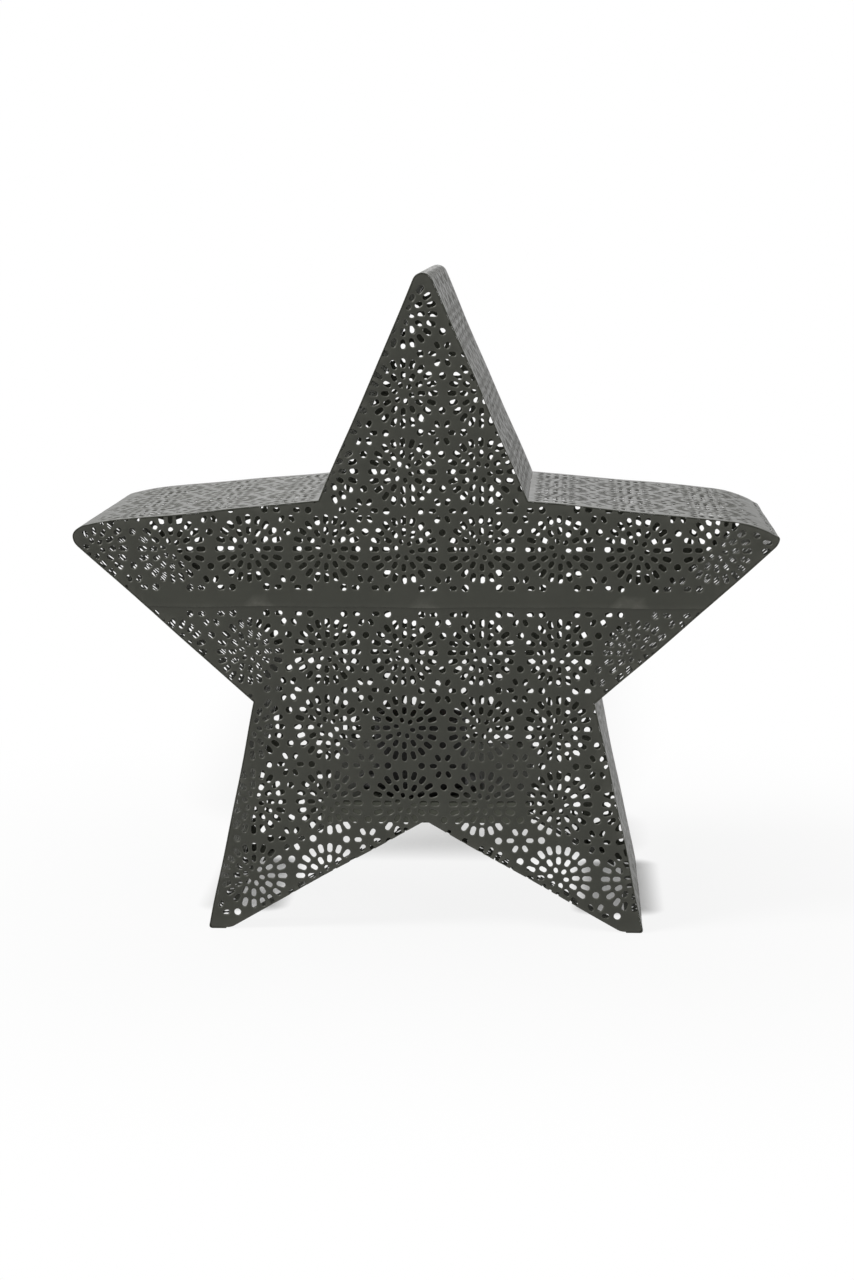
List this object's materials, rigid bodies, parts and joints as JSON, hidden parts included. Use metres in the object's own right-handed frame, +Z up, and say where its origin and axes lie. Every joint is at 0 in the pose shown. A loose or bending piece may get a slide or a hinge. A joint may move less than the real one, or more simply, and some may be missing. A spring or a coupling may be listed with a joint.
{
  "type": "punched tin lantern",
  "caption": "Star-shaped lantern of punched sheet tin that stands on its two lower points, with a shelf inside that carries a loose cup with a votive candle.",
  "frame": {"origin": "on the floor under the middle of the star, halfway between its two faces", "axes": "+Z up, the front face towards -Y, +X to the right seen from the front"},
  "size_m": [0.3994, 0.1626, 0.3776],
  "materials": {
    "painted_tin": "satin dark grey paint on punched tin",
    "black_tin": "matte black paint",
    "wax": "ivory wax, soft sheen",
    "wick_metal": "thin plain sheet",
    "cotton": "braided cotton, charred at the end"
  },
  "bodies": {
    "root": {"front_lower_panel": "painted_tin", "front_upper_panel": "painted_tin", "back_lower_panel": "painted_tin", "back_upper_panel": "painted_tin", "left_leg_wall": "painted_tin", "right_leg_wall": "painted_tin", "left_arm_lower_wall": "painted_tin", "right_arm_lower_wall": "painted_tin", "left_arm_upper_wall": "painted_tin", "right_arm_upper_wall": "painted_tin", "top_left_wall": "painted_tin", "top_right_wall": "painted_tin", "front_arch_flange": "painted_tin", "back_arch_flange": "painted_tin", "candle_shelf": "painted_tin"},
    "holder": {"drip_pan": "black_tin", "candle_cup": "black_tin"},
    "candle": {"votive_candle": "wax", "wick_foot": "wick_metal", "wick": "cotton"}
  },
  "joints": [
    {"name": "holder_lift", "type": "slide", "parent": "root", "child": "holder", "axis": [0, 0, 1], "range_m": [0, 0.06]},
    {"name": "candle_lift", "type": "slide", "parent": "holder", "child": "candle", "axis": [0, 0, 1], "range_m": [0, 0.045]}
  ]
}
